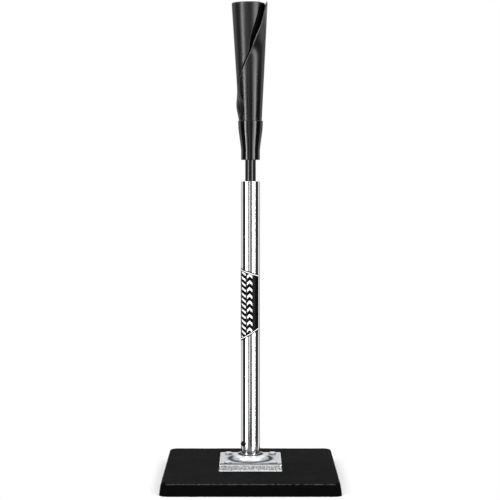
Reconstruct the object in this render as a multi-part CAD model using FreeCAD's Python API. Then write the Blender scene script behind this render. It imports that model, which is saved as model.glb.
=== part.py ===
"""Height-adjustable batting tee: a weighted square base, a flange with a tube, and a rolled rubber cone.

Millimetres, +Z up. The origin is the centre of the base's underside, on the floor.
Three bodies move: the sprung button, the friction plug that slides in the tube, and the upper
assembly (shaft, collar and cone), which turns on the plug and rises with it.
"""
import FreeCAD, Part
import math
import os

V = FreeCAD.Vector
INCH = 25.4
UP = V(0, 0, 1)

# Base: a rubber block over a steel plate, closed from below by a rubber sole
BASE_SIDE = 10 * INCH             # across the top face
BASE_HEIGHT = 18.0
BASE_DRAFT = 2.5                  # the foot stands out this far beyond the top face
BASE_CORNER_R = 10.0
BASE_EDGE_R = 2.5
POCKET_SIDE = 230.0
POCKET_CORNER_R = 6.0
SOLE_THICK = 3.0
PLATE_THICK = 8.0
PLATE_GAP = 0.3                   # between the pocket's sides and what lies in it

# Flange casting with its round hub
FLANGE_SIDE = 92.0
FLANGE_THICK = 10.0
FLANGE_CORNER_R = 2.5
FLANGE_EDGE_R = 1.2
HUB_FOOT_R = 28.5
HUB_HEIGHT = 7.0                  # above the flange's top face
HUB_FILLET_R = 1.5                # hollow blend from the flange up to the hub's flank
HUB_SHOULDER_R = 3.5              # rounding at the top of the flank
HUB_SLOPE = 70.0                  # degrees the flank stands up from the flange
BOLT_OFFSET = 33.25               # bolt centres from the axis, along X and along Y

# M6 fasteners
BOLT_R = 3.0
BOLT_HOLE_R = 3.3
HEAD_FLATS = 10.0
HEAD_THICK = 2.0
HEAD_BEVEL = 0.9                  # height of the bevelled corners on top of a head
HEAD_BEVEL_IN = 0.6               # how far the bevel reaches inside the flats
WASHER_R = 6.0
WASHER_THICK = 0.6
NUT_THICK = 3.2
NUT_POCKET_R = 6.5
NUT_POCKET_DEEP = 4.0
BOLT_TAIL = 0.4                   # what a bolt stands out below its nut

# Fixed tube on its spigot
TUBE_R = 1.125 * INCH / 2
TUBE_WALL = 1.6
TUBE_TOP = 442.3
TUBE_SOCKET_GAP = 0.1
SPIGOT_GAP = 0.1
SPIGOT_WALL = 1.6
SPIGOT_TOP = 62.0
SPIGOT_FOOT_R = 16.0
SPIGOT_FOOT_THICK = 3.0
BUSH_LENGTH = 16.0
LABEL_THICK = 0.2
LABEL_START = 165.0               # degrees from +X, counter-clockwise seen from above
LABEL_SWEEP = 160.0
LABEL_BOTTOM = [(-15.0, 205.0), (15.0, 224.0)]    # (x, z) ends of its lower edge, seen from the front
LABEL_TOP = [(15.0, 304.0), (-15.0, 314.0)]       # and of its upper edge

# Snap button that locks the tube to the spigot
BUTTON_HEIGHT = 52.3
BUTTON_AZIMUTH = 227.0            # degrees from +X, counter-clockwise seen from above
BUTTON_R = 4.0
BUTTON_HOLE_R = 4.1
BUTTON_PROUD = 5.0                # how far the tip stands out of the tube
BUTTON_HEAD_R = 5.2
BUTTON_HEAD_THICK = 1.1
LEAF_THICK = 0.8
LEAF_WIDTH = 6.0
LEAF_REACH = 6.0                  # of the leaf's front leg, above and below the button's axis
LEAF_BEND_HALF = 1.5              # half the width of the bend at the bottom
LEAF_BEND_RISE = 9.0              # height of the bend above the base's top face

# Sliding and turning parts
RUN_GAP = 0.1                     # radial clearance of the shaft in its bush
SHAFT_R = 0.625 * INCH / 2
SHAFT_WALL = 1.5
SHAFT_TOP = 530.0
PLUG_BOTTOM = 95.0
PLUG_BODY = 22.0
PLUG_R = 12.3
PLUG_STEM = 10.0
PLUG_RECESS_R = 5.4
PLUG_RECESS_DEEP = 6.0
RING_SECTION_R = 1.3
RING_OUTER_R = 12.65
RING_HEIGHTS = {"lower": 6.5, "upper": 15.5}      # above the plug's bottom
GROOVE_SLACK = 0.2
SCREW_R = 2.5
SCREW_HEAD_R = 4.5
SCREW_HEAD_THICK = 4.0
SCREW_SOCKET_R = 2.3
THRUST_R = 5.0
THRUST_THICK = 0.8
END_GAP = 0.2                     # between faces that turn on each other
END_PLUG_LENGTH = 12.0

# Collar that joins the shaft and the cone
COLLAR_BOTTOM = 473.6
COLLAR_NECK_R = 13.9
COLLAR_NECK_TOP = 488.6
COLLAR_CUP_FLOOR = 515.5          # the cone and its core stand on this
COLLAR_FLARE_TOP = 521.6
COLLAR_FLARE_R = 18.1
COLLAR_TOP = 531.6
COLLAR_LIP_R = 18.4
COLLAR_LIP_BEVEL = 0.7

# Rolled rubber cone and its core
CONE_TOP = 703.4
CONE_RIM_R = 26.5
CONE_SLOPE = 0.0563               # radius gained per mm of height
CONE_WALL = 3.6                   # two turns of sheet
CORE_TOP = 545.0

# Levels and radii that follow from the sizes above
PLATE_TOP = SOLE_THICK + PLATE_THICK
FLANGE_TOP = BASE_HEIGHT + FLANGE_THICK
HUB_TOP = FLANGE_TOP + HUB_HEIGHT
TUBE_BORE_R = TUBE_R - TUBE_WALL
SPIGOT_R = TUBE_BORE_R - SPIGOT_GAP
SPIGOT_BORE_R = SPIGOT_R - SPIGOT_WALL
SHAFT_BORE_R = SHAFT_R - SHAFT_WALL
PLUG_TOP = PLUG_BOTTOM + PLUG_BODY
THRUST_TOP = PLUG_BOTTOM + PLUG_RECESS_DEEP - END_GAP
SHAFT_BOTTOM = PLUG_TOP + END_GAP
END_PLUG_BOTTOM = PLUG_TOP + PLUG_STEM + END_GAP
BUTTON_OUT = V(math.cos(math.radians(BUTTON_AZIMUTH)), math.sin(math.radians(BUTTON_AZIMUTH)), 0)


def drum(radius, low, high):
    """Solid cylinder on the Z axis."""
    return Part.makeCylinder(radius, high - low, V(0, 0, low))


def pipe(outer_r, inner_r, low, high):
    """Hollow cylinder on the Z axis."""
    return drum(outer_r, low, high).cut(drum(inner_r, low - 1, high + 1))


def turned(edges):
    """Solid of revolution about Z from a closed outline in the XZ plane."""
    return Part.Face(Part.Wire(edges)).revolve(V(0, 0, 0), UP, 360)


def turned_points(points):
    """Solid of revolution about Z from the (radius, height) corners of its outline."""
    corners = [V(r, 0, z) for r, z in points]
    return turned(Part.makePolygon(corners + corners[:1]).Edges)


def square_wire(side, corner_r, z):
    """Rounded square centred on the Z axis."""
    far = side / 2
    near = far - corner_r
    bow = near + corner_r / math.sqrt(2)
    edges = []
    for turn in range(4):
        spin = FreeCAD.Rotation(UP, 90 * turn)
        start, middle, end = (spin.multVec(p) for p in (V(far, near, z), V(bow, bow, z), V(near, far, z)))
        edges.append(Part.LineSegment(spin.multVec(V(far, -near, z)), start).toShape())
        edges.append(Part.Arc(start, middle, end).toShape())
    return Part.Wire(edges)


def slab(side, corner_r, low, high):
    """Flat square plate with rounded corners."""
    return Part.Face(square_wire(side, corner_r, low)).extrude(V(0, 0, high - low))


def edges_at(shape, z):
    """Edges of a shape that lie wholly at one height."""
    return [e for e in shape.Edges if abs(e.BoundBox.ZMin - z) < 1e-4 and abs(e.BoundBox.ZMax - z) < 1e-4]


def hexagon(flats, low, high):
    """Hexagonal prism on the Z axis."""
    corner_r = flats / math.sqrt(3)
    corners = [V(corner_r * math.cos(math.radians(60 * i)), corner_r * math.sin(math.radians(60 * i)), low)
               for i in range(7)]
    return Part.Face(Part.makePolygon(corners)).extrude(V(0, 0, high - low))


def at_bolts(shape):
    """One copy of a shape at each corner of the flange."""
    places = [V(x * BOLT_OFFSET, y * BOLT_OFFSET, 0) for x in (-1, 1) for y in (-1, 1)]
    return Part.makeCompound([shape.translated(place) for place in places])


def bolt_holes(radius, low, high):
    """Tool that drills the four bolt holes."""
    return at_bolts(drum(radius, low, high))


def base_block():
    foot = square_wire(BASE_SIDE + 2 * BASE_DRAFT, BASE_CORNER_R + BASE_DRAFT, 0)
    top = square_wire(BASE_SIDE, BASE_CORNER_R, BASE_HEIGHT)
    block = Part.makeLoft([foot, top], True, True)
    block = block.makeFillet(BASE_EDGE_R, edges_at(block, BASE_HEIGHT))
    block = block.cut(slab(POCKET_SIDE, POCKET_CORNER_R, -1, PLATE_TOP))
    return block.cut(bolt_holes(BOLT_HOLE_R, 0, BASE_HEIGHT + 1))


def ballast_plate():
    plate = slab(POCKET_SIDE - 2 * PLATE_GAP, POCKET_CORNER_R, SOLE_THICK, PLATE_TOP)
    plate = plate.cut(bolt_holes(BOLT_HOLE_R, 0, BASE_HEIGHT))
    return plate.cut(bolt_holes(NUT_POCKET_R, 0, SOLE_THICK + NUT_POCKET_DEEP))


def sole_pad():
    return slab(POCKET_SIDE - 2 * PLATE_GAP, POCKET_CORNER_R, 0, SOLE_THICK)


def hub_solid():
    """The hub: a hollow fillet, a straight flank and a rounded shoulder, turned about the axis."""
    def on_arc(centre, radius, degrees):
        angle = math.radians(degrees)
        return centre + V(radius * math.sin(angle), 0, radius * math.cos(angle))

    fillet_c = V(HUB_FOOT_R, 0, FLANGE_TOP + HUB_FILLET_R)
    foot, fillet_mid, flank_low = (on_arc(fillet_c, -HUB_FILLET_R, a) for a in (0, HUB_SLOPE / 2, HUB_SLOPE))
    shoulder_z = HUB_TOP - HUB_SHOULDER_R
    flank_high_z = shoulder_z + HUB_SHOULDER_R * math.cos(math.radians(HUB_SLOPE))
    flank_high_r = flank_low.x - (flank_high_z - flank_low.z) / math.tan(math.radians(HUB_SLOPE))
    shoulder_c = V(flank_high_r - HUB_SHOULDER_R * math.sin(math.radians(HUB_SLOPE)), 0, shoulder_z)
    rim, shoulder_mid, flank_high = (on_arc(shoulder_c, HUB_SHOULDER_R, a) for a in (0, HUB_SLOPE / 2, HUB_SLOPE))
    root = foot - UP * FLANGE_THICK / 2
    axis_low, axis_high = V(0, 0, root.z), V(0, 0, HUB_TOP)
    return turned([Part.LineSegment(root, foot).toShape(),
                   Part.Arc(foot, fillet_mid, flank_low).toShape(),
                   Part.LineSegment(flank_low, flank_high).toShape(),
                   Part.Arc(flank_high, shoulder_mid, rim).toShape(),
                   Part.LineSegment(rim, axis_high).toShape(),
                   Part.LineSegment(axis_high, axis_low).toShape(),
                   Part.LineSegment(axis_low, root).toShape()])


def flange_casting():
    plate = slab(FLANGE_SIDE, FLANGE_CORNER_R, BASE_HEIGHT, FLANGE_TOP)
    plate = plate.makeFillet(FLANGE_EDGE_R, edges_at(plate, FLANGE_TOP))
    casting = plate.fuse(hub_solid()).removeSplitter()
    casting = casting.cut(drum(TUBE_R + TUBE_SOCKET_GAP, FLANGE_TOP, HUB_TOP + 1))
    casting = casting.cut(drum(SPIGOT_R, BASE_HEIGHT - 1, HUB_TOP))
    casting = casting.cut(drum(SPIGOT_FOOT_R + SPIGOT_GAP, BASE_HEIGHT - 1, BASE_HEIGHT + SPIGOT_FOOT_THICK))
    return casting.cut(bolt_holes(BOLT_HOLE_R, BASE_HEIGHT - 1, FLANGE_TOP + 1))


def flange_bolts():
    seat = FLANGE_TOP + WASHER_THICK
    top = seat + HEAD_THICK
    flat_r = HEAD_FLATS / 2 - HEAD_BEVEL_IN
    crown = turned_points([(0, seat), (HEAD_FLATS, seat), (HEAD_FLATS, top - HEAD_BEVEL),
                           (flat_r, top), (0, top)])
    head = hexagon(HEAD_FLATS, seat, top).common(crown)
    nut_bottom = SOLE_THICK + NUT_POCKET_DEEP - NUT_THICK
    return at_bolts(head.fuse(drum(BOLT_R, nut_bottom - BOLT_TAIL, seat)).removeSplitter())


def flange_washers():
    return at_bolts(pipe(WASHER_R, BOLT_R, FLANGE_TOP, FLANGE_TOP + WASHER_THICK))


def base_nuts():
    high = SOLE_THICK + NUT_POCKET_DEEP
    return at_bolts(hexagon(HEAD_FLATS, high - NUT_THICK, high).cut(drum(BOLT_R, 0, BASE_HEIGHT)))


def along_button(radius, inner, outer):
    """Cylinder on the button's axis, between two distances from the tee's axis."""
    return Part.makeCylinder(radius, outer - inner, BUTTON_OUT * inner + UP * BUTTON_HEIGHT, BUTTON_OUT)


def spigot_tube():
    spigot = pipe(SPIGOT_R, SPIGOT_BORE_R, BASE_HEIGHT, SPIGOT_TOP)
    foot = pipe(SPIGOT_FOOT_R, SPIGOT_BORE_R, BASE_HEIGHT, BASE_HEIGHT + SPIGOT_FOOT_THICK)
    return spigot.fuse(foot).removeSplitter().cut(along_button(BUTTON_HOLE_R, 0, TUBE_R))


def outer_tube():
    return pipe(TUBE_R, TUBE_BORE_R, FLANGE_TOP, TUBE_TOP).cut(along_button(BUTTON_HOLE_R, 0, 2 * TUBE_R))


def guide_bush():
    return pipe(TUBE_BORE_R, SHAFT_R + RUN_GAP, TUBE_TOP - BUSH_LENGTH, TUBE_TOP)


def tube_label():
    """Thin sticker bent round part of the tube; its upper and lower edges slope towards each other."""
    reach = 2 * TUBE_R
    outline = [V(x, -reach, z) for x, z in LABEL_BOTTOM + LABEL_TOP]
    between = Part.Face(Part.makePolygon(outline + outline[:1])).extrude(V(0, 2 * reach, 0))
    section = [V(r, 0, z) for r, z in ((TUBE_R, FLANGE_TOP), (TUBE_R + LABEL_THICK, FLANGE_TOP),
                                       (TUBE_R + LABEL_THICK, TUBE_TOP), (TUBE_R, TUBE_TOP))]
    film = Part.Face(Part.makePolygon(section + section[:1])).revolve(V(0, 0, 0), UP, LABEL_SWEEP)
    return film.rotated(V(0, 0, 0), UP, LABEL_START).common(between)


def snap_button():
    tip = TUBE_R + BUTTON_PROUD
    head_outer = math.sqrt(SPIGOT_BORE_R ** 2 - BUTTON_HEAD_R ** 2) - RUN_GAP
    stem = along_button(BUTTON_R, head_outer - BUTTON_HEAD_THICK, tip - BUTTON_R)
    dome = Part.makeSphere(BUTTON_R, BUTTON_OUT * (tip - BUTTON_R) + UP * BUTTON_HEIGHT)
    head = along_button(BUTTON_HEAD_R, head_outer - BUTTON_HEAD_THICK, head_outer)
    return stem.fuse([dome, head]).removeSplitter()


def button_spring():
    """Bent leaf: one leg behind the button, one against the far wall of the spigot."""
    head_outer = math.sqrt(SPIGOT_BORE_R ** 2 - BUTTON_HEAD_R ** 2) - RUN_GAP
    behind = head_outer - BUTTON_HEAD_THICK - LEAF_THICK / 2
    wall = math.sqrt(SPIGOT_BORE_R ** 2 - (LEAF_WIDTH / 2) ** 2) - LEAF_THICK
    bend = BASE_HEIGHT + LEAF_BEND_RISE
    path = [(behind, BUTTON_HEIGHT + LEAF_REACH), (behind, BUTTON_HEIGHT - LEAF_REACH),
            (LEAF_BEND_HALF, bend), (-LEAF_BEND_HALF, bend), (-wall, BUTTON_HEIGHT)]
    across = UP.cross(BUTTON_OUT)
    leaf = None
    for (r0, z0), (r1, z1) in zip(path, path[1:]):
        start, end = BUTTON_OUT * r0 + UP * z0, BUTTON_OUT * r1 + UP * z1
        side = (end - start).normalize().cross(across) * (LEAF_THICK / 2)
        corners = [start + side, end + side, end - side, start - side]
        strip = Part.Face(Part.makePolygon(corners + corners[:1])).extrude(across * LEAF_WIDTH)
        knee = Part.makeCylinder(LEAF_THICK / 2, LEAF_WIDTH, end, across)
        leaf = strip.fuse(knee) if leaf is None else leaf.fuse([strip, knee])
    return leaf.removeSplitter().translated(across * (-LEAF_WIDTH / 2))


def friction_plug():
    plug = drum(PLUG_R, PLUG_BOTTOM, PLUG_TOP).fuse(drum(SHAFT_BORE_R - RUN_GAP, PLUG_TOP, PLUG_TOP + PLUG_STEM))
    groove_r = RING_OUTER_R - 2 * RING_SECTION_R
    half = RING_SECTION_R + GROOVE_SLACK
    for height in RING_HEIGHTS.values():
        middle = PLUG_BOTTOM + height
        plug = plug.cut(pipe(PLUG_R + 1, groove_r, middle - half, middle + half))
    plug = plug.cut(drum(PLUG_RECESS_R, PLUG_BOTTOM - 1, PLUG_BOTTOM + PLUG_RECESS_DEEP))
    return plug.cut(drum(SCREW_R + RUN_GAP, PLUG_BOTTOM, PLUG_TOP + PLUG_STEM + 1)).removeSplitter()


def friction_ring(height):
    return Part.makeTorus(RING_OUTER_R - RING_SECTION_R, RING_SECTION_R, V(0, 0, PLUG_BOTTOM + height))


def thrust_washer():
    return pipe(THRUST_R, SCREW_R, THRUST_TOP - THRUST_THICK, THRUST_TOP)


def plug_screw():
    seat = THRUST_TOP - THRUST_THICK
    head = drum(SCREW_HEAD_R, seat - SCREW_HEAD_THICK, seat)
    shank = drum(SCREW_R, seat, END_PLUG_BOTTOM + END_PLUG_LENGTH - 1)
    socket = hexagon(2 * SCREW_SOCKET_R, seat - SCREW_HEAD_THICK, seat - SCREW_HEAD_THICK / 2)
    return head.fuse(shank).removeSplitter().cut(socket)


def shaft_end_plug():
    return pipe(SHAFT_BORE_R, SCREW_R, END_PLUG_BOTTOM, END_PLUG_BOTTOM + END_PLUG_LENGTH)


def inner_shaft():
    return pipe(SHAFT_R, SHAFT_BORE_R, SHAFT_BOTTOM, SHAFT_TOP)


def cone_radius(z):
    """Outer radius of the rubber cone at one height."""
    return CONE_RIM_R - (CONE_TOP - z) * CONE_SLOPE


def collar():
    cup_low, cup_high = cone_radius(COLLAR_CUP_FLOOR), cone_radius(COLLAR_TOP)
    return turned_points([(SHAFT_R, COLLAR_BOTTOM), (COLLAR_NECK_R, COLLAR_BOTTOM),
                          (COLLAR_NECK_R, COLLAR_NECK_TOP), (COLLAR_FLARE_R, COLLAR_FLARE_TOP),
                          (COLLAR_LIP_R, COLLAR_TOP - COLLAR_LIP_BEVEL),
                          (COLLAR_LIP_R - COLLAR_LIP_BEVEL, COLLAR_TOP), (cup_high, COLLAR_TOP),
                          (cup_low, COLLAR_CUP_FLOOR), (SHAFT_R, COLLAR_CUP_FLOOR)])


def ball_cone():
    return turned_points([(cone_radius(COLLAR_CUP_FLOOR) - CONE_WALL, COLLAR_CUP_FLOOR),
                          (cone_radius(COLLAR_CUP_FLOOR), COLLAR_CUP_FLOOR),
                          (CONE_RIM_R, CONE_TOP), (CONE_RIM_R - CONE_WALL, CONE_TOP)])


def cone_core():
    """Tapered core that the cone's lower end is bonded round; the shaft ends in its bore."""
    low_r = cone_radius(COLLAR_CUP_FLOOR) - CONE_WALL
    high_r = cone_radius(CORE_TOP) - CONE_WALL
    return turned_points([(SHAFT_R, COLLAR_CUP_FLOOR), (low_r, COLLAR_CUP_FLOOR), (high_r, CORE_TOP),
                          (0, CORE_TOP), (0, SHAFT_TOP), (SHAFT_R, SHAFT_TOP)])


PARTS = {
    "base_block": base_block, "ballast_plate": ballast_plate, "sole_pad": sole_pad,
    "flange_casting": flange_casting, "flange_bolts": flange_bolts, "flange_washers": flange_washers,
    "base_nuts": base_nuts, "spigot_tube": spigot_tube, "outer_tube": outer_tube,
    "guide_bush": guide_bush, "tube_label": tube_label,
    "snap_button": snap_button, "button_spring": button_spring,
    "friction_plug": friction_plug,
    "thrust_washer": thrust_washer, "plug_screw": plug_screw, "shaft_end_plug": shaft_end_plug,
    "inner_shaft": inner_shaft, "collar": collar, "cone_core": cone_core, "ball_cone": ball_cone,
}
os.makedirs("parts", exist_ok=True)
for name, make in PARTS.items():
    make().exportStep("parts/" + name + ".step")
for place, height in RING_HEIGHTS.items():
    friction_ring(height).exportStep("parts/friction_ring_" + place + ".step")
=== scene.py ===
"""Looks of the batting tee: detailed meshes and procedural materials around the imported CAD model.

Metres, +Z up, in the CAD frame. An azimuth is in degrees from the front (-Y) towards +X.
"""

import math

import bmesh
import bpy
import numpy as np
from mathutils import Matrix, Vector, noise

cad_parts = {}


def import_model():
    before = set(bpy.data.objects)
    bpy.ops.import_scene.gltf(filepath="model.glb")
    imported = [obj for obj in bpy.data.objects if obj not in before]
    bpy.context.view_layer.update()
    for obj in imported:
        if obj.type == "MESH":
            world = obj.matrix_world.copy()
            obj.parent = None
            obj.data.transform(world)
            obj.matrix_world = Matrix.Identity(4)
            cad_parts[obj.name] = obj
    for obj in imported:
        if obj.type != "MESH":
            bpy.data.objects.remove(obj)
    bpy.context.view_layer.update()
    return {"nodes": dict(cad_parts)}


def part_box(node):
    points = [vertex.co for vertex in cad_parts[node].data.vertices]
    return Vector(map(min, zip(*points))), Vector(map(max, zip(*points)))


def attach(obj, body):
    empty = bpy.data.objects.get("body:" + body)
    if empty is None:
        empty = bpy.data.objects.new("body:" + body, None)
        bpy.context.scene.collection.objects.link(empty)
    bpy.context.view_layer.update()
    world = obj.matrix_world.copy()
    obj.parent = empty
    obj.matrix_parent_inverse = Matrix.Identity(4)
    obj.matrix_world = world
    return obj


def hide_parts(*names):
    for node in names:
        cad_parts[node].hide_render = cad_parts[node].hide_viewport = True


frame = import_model()

MM = 0.001
BASE_LOW, BASE_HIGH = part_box("base_block")
SOLE_LOW, SOLE_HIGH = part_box("sole_pad")
PLATE_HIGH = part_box("ballast_plate")[1]
FLANGE_LOW, FLANGE_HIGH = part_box("flange_casting")
FLANGE_FACE = FLANGE_LOW.z + 10 * MM           # top of the flange's flat plate
WASHER_LOW, WASHER_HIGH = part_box("flange_washers")
BOLT_LOW, BOLT_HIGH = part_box("flange_bolts")
TUBE_LOW, TUBE_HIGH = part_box("outer_tube")
BUSH_LOW, BUSH_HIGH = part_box("guide_bush")
LABEL_LOW, LABEL_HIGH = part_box("tube_label")
BUTTON_LOW, BUTTON_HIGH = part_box("snap_button")
SHAFT_LOW, SHAFT_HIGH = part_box("inner_shaft")
COLLAR_LOW, COLLAR_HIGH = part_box("collar")
CONE_LOW, CONE_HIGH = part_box("ball_cone")
TUBE_R, SHAFT_R = TUBE_HIGH.x, SHAFT_HIGH.x
AXIS = Vector((0, 0, 1))


# ---------------------------------------------------------------- mesh helpers

def toward(azimuth):
    """Level unit vector at an azimuth from the front, towards +X."""
    angle = math.radians(azimuth)
    return Vector((math.sin(angle), -math.cos(angle), 0))


def smoothstep(low, high, value):
    """0 at `low`, 1 at `high` and level beyond them; `low` may be the greater one."""
    t = np.clip((np.asarray(value, float) - low) / (high - low), 0, 1)
    return t * t * (3 - 2 * t)


def make_piece(name, verts, faces, body, replaces=(), sharp=35):
    """A closed mesh that rides on a CAD body, shaded smooth except over edges sharper than `sharp` degrees."""
    mesh = bpy.data.meshes.new(name)
    mesh.from_pydata([tuple(v) for v in verts], [], [tuple(f) for f in faces])
    work = bmesh.new()
    work.from_mesh(mesh)
    bmesh.ops.recalc_face_normals(work, faces=work.faces)
    work.to_mesh(mesh)
    work.free()
    mesh.shade_smooth()
    mesh.set_sharp_from_angle(angle=math.radians(sharp))
    piece = bpy.data.objects.new(name, mesh)
    bpy.context.scene.collection.objects.link(piece)
    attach(piece, body)
    if replaces:
        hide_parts(*replaces)
    return piece


def skin(rings, joined=False, capped=False):
    """Vertices and faces of a surface through equal rings of points: a tube, a closed loop of rings, or capped."""
    rings = np.asarray(rings, float)
    count, around = rings.shape[:2]
    faces = []
    for i in range(count if joined else count - 1):
        j = (i + 1) % count
        for k in range(around):
            m = (k + 1) % around
            faces.append((i * around + k, i * around + m, j * around + m, j * around + k))
    if capped:
        faces.append(tuple(range(around)))
        faces.append(tuple((count - 1) * around + k for k in range(around)))
    return rings.reshape(-1, 3), faces


def lathe(profile, segments=128, joined=False, capped=False, ripple=None):
    """Surface turned about Z from (radius, height) points; ripple(angle, height) adds to the radius."""
    angles = np.linspace(0, 2 * math.pi, segments, endpoint=False)
    rings = []
    for radius, height in profile:
        extra = ripple(angles, height) if ripple else 0
        r = radius + extra
        rings.append(np.stack([r * np.cos(angles), r * np.sin(angles), np.full(segments, height)], axis=1))
    return skin(rings, joined, capped)


def fillet(corner_r, corner_z, size, start, end, steps=5):
    """Points of a rounding with its centre at a (radius, height) point, from one angle to another in degrees."""
    return [(corner_r + size * math.cos(math.radians(a)), corner_z + size * math.sin(math.radians(a)))
            for a in np.linspace(start, end, steps)]


def double_sheet_faces(columns, rows):
    """Faces of a closed sheet with two sides: a grid of points, row by row, and then the same grid again."""
    size = columns * rows
    faces = []
    for r in range(rows - 1):
        for c in range(columns - 1):
            a = r * columns + c
            quad = (a, a + 1, a + columns + 1, a + columns)
            faces += [quad, tuple(n + size for n in reversed(quad))]
    border = list(range(columns)) + [r * columns + columns - 1 for r in range(1, rows)]
    border += [(rows - 1) * columns + c for c in range(columns - 2, -1, -1)]
    border += [r * columns for r in range(rows - 2, 0, -1)]
    return faces + [(a, a + size, b + size, b) for a, b in zip(border, border[1:] + border[:1])]


def store(piece, name, values):
    """Stores one number per vertex, under the name that a material reads it by."""
    piece.data.attributes.new(name, "FLOAT", "POINT").data.foreach_set("value", np.array(values, np.float32))


def roughen(points, size, depth, octaves=3, seed=0.0):
    """Noise value for each point, with features of about `size`, between -depth and depth."""
    shift = Vector((seed, seed * 0.7, -seed))
    return np.array([noise.fractal(Vector(p) / size + shift, 0.9, 2.1, octaves) for p in points]) * depth


# ------------------------------------------------------------ material helpers

class Graph:
    """Short way of writing nodes: a call adds a node and returns its main output."""

    def __init__(self, tree):
        self.tree = tree

    def node(self, kind, **values):
        """Adds a node, sets its properties and returns the node itself."""
        made = self.tree.nodes.new(kind)
        for key, value in values.items():
            setattr(made, key, value)
        return made

    def link(self, source, target):
        self.tree.links.new(source, target)

    def feed(self, socket, value):
        """Links an output to a socket, or sets the socket to a plain value."""
        if isinstance(value, bpy.types.NodeSocket):
            self.link(value, socket)
        else:
            socket.default_value = value

    def split(self, vector):
        """The outputs "X", "Y" and "Z" of a vector."""
        made = self.node("ShaderNodeSeparateXYZ")
        self.link(vector, made.inputs[0])
        return made.outputs

    def math(self, operation, a, b=0.5, clamp=False):
        made = self.node("ShaderNodeMath", operation=operation, use_clamp=clamp)
        self.feed(made.inputs[0], a)
        self.feed(made.inputs[1], b)
        return made.outputs[0]

    def between(self, value, low, high, to_low=0.0, to_high=1.0):
        """Maps low..high onto to_low..to_high, clamped."""
        made = self.node("ShaderNodeMapRange")
        self.feed(made.inputs["Value"], value)
        for name, number in (("From Min", low), ("From Max", high), ("To Min", to_low), ("To Max", to_high)):
            made.inputs[name].default_value = number
        return made.outputs["Result"]

    def band(self, value, low, high, soft):
        """1 from low to high and 0 outside, with edges that run from -soft to soft about them."""
        rise = self.between(value, low - soft, low + soft)
        return self.math("MULTIPLY", rise, self.between(value, high - soft, high + soft, 1.0, 0.0))


class Recipe(Graph):
    """A material around its Principled shader, in object coordinates. Scales are in features per metre."""

    def __init__(self, name):
        self.material = bpy.data.materials.new(name)
        self.material.use_nodes = True
        super().__init__(self.material.node_tree)
        self.shader = self.tree.nodes["Principled BSDF"]
        self.place = self.node("ShaderNodeTexCoord").outputs["Object"]

    def stretched(self, scale):
        """Object coordinates stretched by a factor along each axis."""
        mapping = self.node("ShaderNodeMapping")
        mapping.inputs["Scale"].default_value = scale
        self.link(self.place, mapping.inputs["Vector"])
        return mapping.outputs["Vector"]

    def noise(self, scale, detail, roughness, vector=None):
        """Cloudy noise about 0.5."""
        made = self.node("ShaderNodeTexNoise")
        self.link(vector or self.place, made.inputs["Vector"])
        made.inputs["Scale"].default_value = scale
        made.inputs["Detail"].default_value = detail
        made.inputs["Roughness"].default_value = roughness
        return made.outputs["Fac"]

    def cells(self, scale):
        """Distance to the nearest of many scattered points."""
        made = self.node("ShaderNodeTexVoronoi")
        self.link(self.place, made.inputs["Vector"])
        made.inputs["Scale"].default_value = scale
        return made.outputs["Distance"]

    def mixed(self, factor, a, b):
        """Colour a at factor 0, colour b at factor 1."""
        made = self.node("ShaderNodeMix", data_type="RGBA")
        self.feed(made.inputs["Factor"], factor)
        self.feed(made.inputs["A"], a)
        self.feed(made.inputs["B"], b)
        return made.outputs["Result"]

    def attribute(self, name):
        """The numbers that store() left on the vertices."""
        return self.node("ShaderNodeAttribute", attribute_name=name).outputs["Fac"]

    def bump(self, height, distance, strength, under=None):
        """A normal that follows a height, on top of the bump given as `under`."""
        made = self.node("ShaderNodeBump")
        made.inputs["Distance"].default_value = distance
        made.inputs["Strength"].default_value = strength
        self.link(height, made.inputs["Height"])
        if under is not None:
            self.link(under, made.inputs["Normal"])
        return made.outputs["Normal"]

    def finish(self, **sockets):
        """Fills the shader's sockets; underscores stand for spaces."""
        for name, value in sockets.items():
            self.feed(self.shader.inputs[name.replace("_", " ")], value)
        return self.material


def grey(value, blue=0.0):
    """A grey, with its blue raised by a share."""
    return (value, value, value * (1 + blue), 1.0)


def paint(piece, material):
    """Makes the material the piece's only one."""
    piece.data.materials.clear()
    piece.data.materials.append(material)
    return piece


def paint_node(node, material):
    """Gives a CAD node a better material in its own slots."""
    for slot in frame["nodes"][node].material_slots:
        slot.material = material


# --------------------------------------------------------------------- materials

def base_rubber():
    """Dull moulded rubber: a pebbled skin, faint scuffs along X, and top edges lighter grey from scuffing and a
    painted edge highlight.
    """
    m = Recipe("base_rubber")
    grain = m.noise(1400, 3, 0.6)
    pebble = m.cells(620)
    patches = m.noise(22, 5, 0.6)
    scuffs = m.noise(90, 6, 0.65, m.stretched((1.0, 4.0, 4.0)))
    scuff_mask = m.between(scuffs, 0.60, 0.74)
    # top edges lighter grey: partly scuffing, partly a painted highlight along them
    edge_wear_and_highlight = m.between(m.attribute("wear_and_edge_highlight"), 0.25, 1.0, 0.0, 0.9)
    edge_wear_and_highlight = m.math("MULTIPLY", edge_wear_and_highlight, m.between(m.noise(120, 4, 0.7), 0.35, 0.65))
    mottle = m.between(m.noise(240, 3, 0.6), 0.4, 0.62)
    colour = m.mixed(patches, grey(0.0001, 0.06), grey(0.0005, 0.1))
    colour = m.mixed(m.math("MULTIPLY", mottle, 0.6), colour, grey(0.0012, 0.05))
    colour = m.mixed(m.math("MULTIPLY", scuff_mask, 0.3), colour, grey(0.008))
    colour = m.mixed(edge_wear_and_highlight, colour, grey(0.085))
    rough = m.between(m.math("ADD", patches, m.math("MULTIPLY", scuff_mask, 0.4)), 0.2, 1.1, 0.66, 0.84)
    normal = m.bump(pebble, 0.00012, 0.7)
    normal = m.bump(grain, 0.00010, 0.8, normal)
    normal = m.bump(mottle, 0.00025, 0.6, normal)
    return m.finish(Base_Color=colour, Roughness=rough, Normal=normal, Specular_IOR_Level=0.03)


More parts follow.
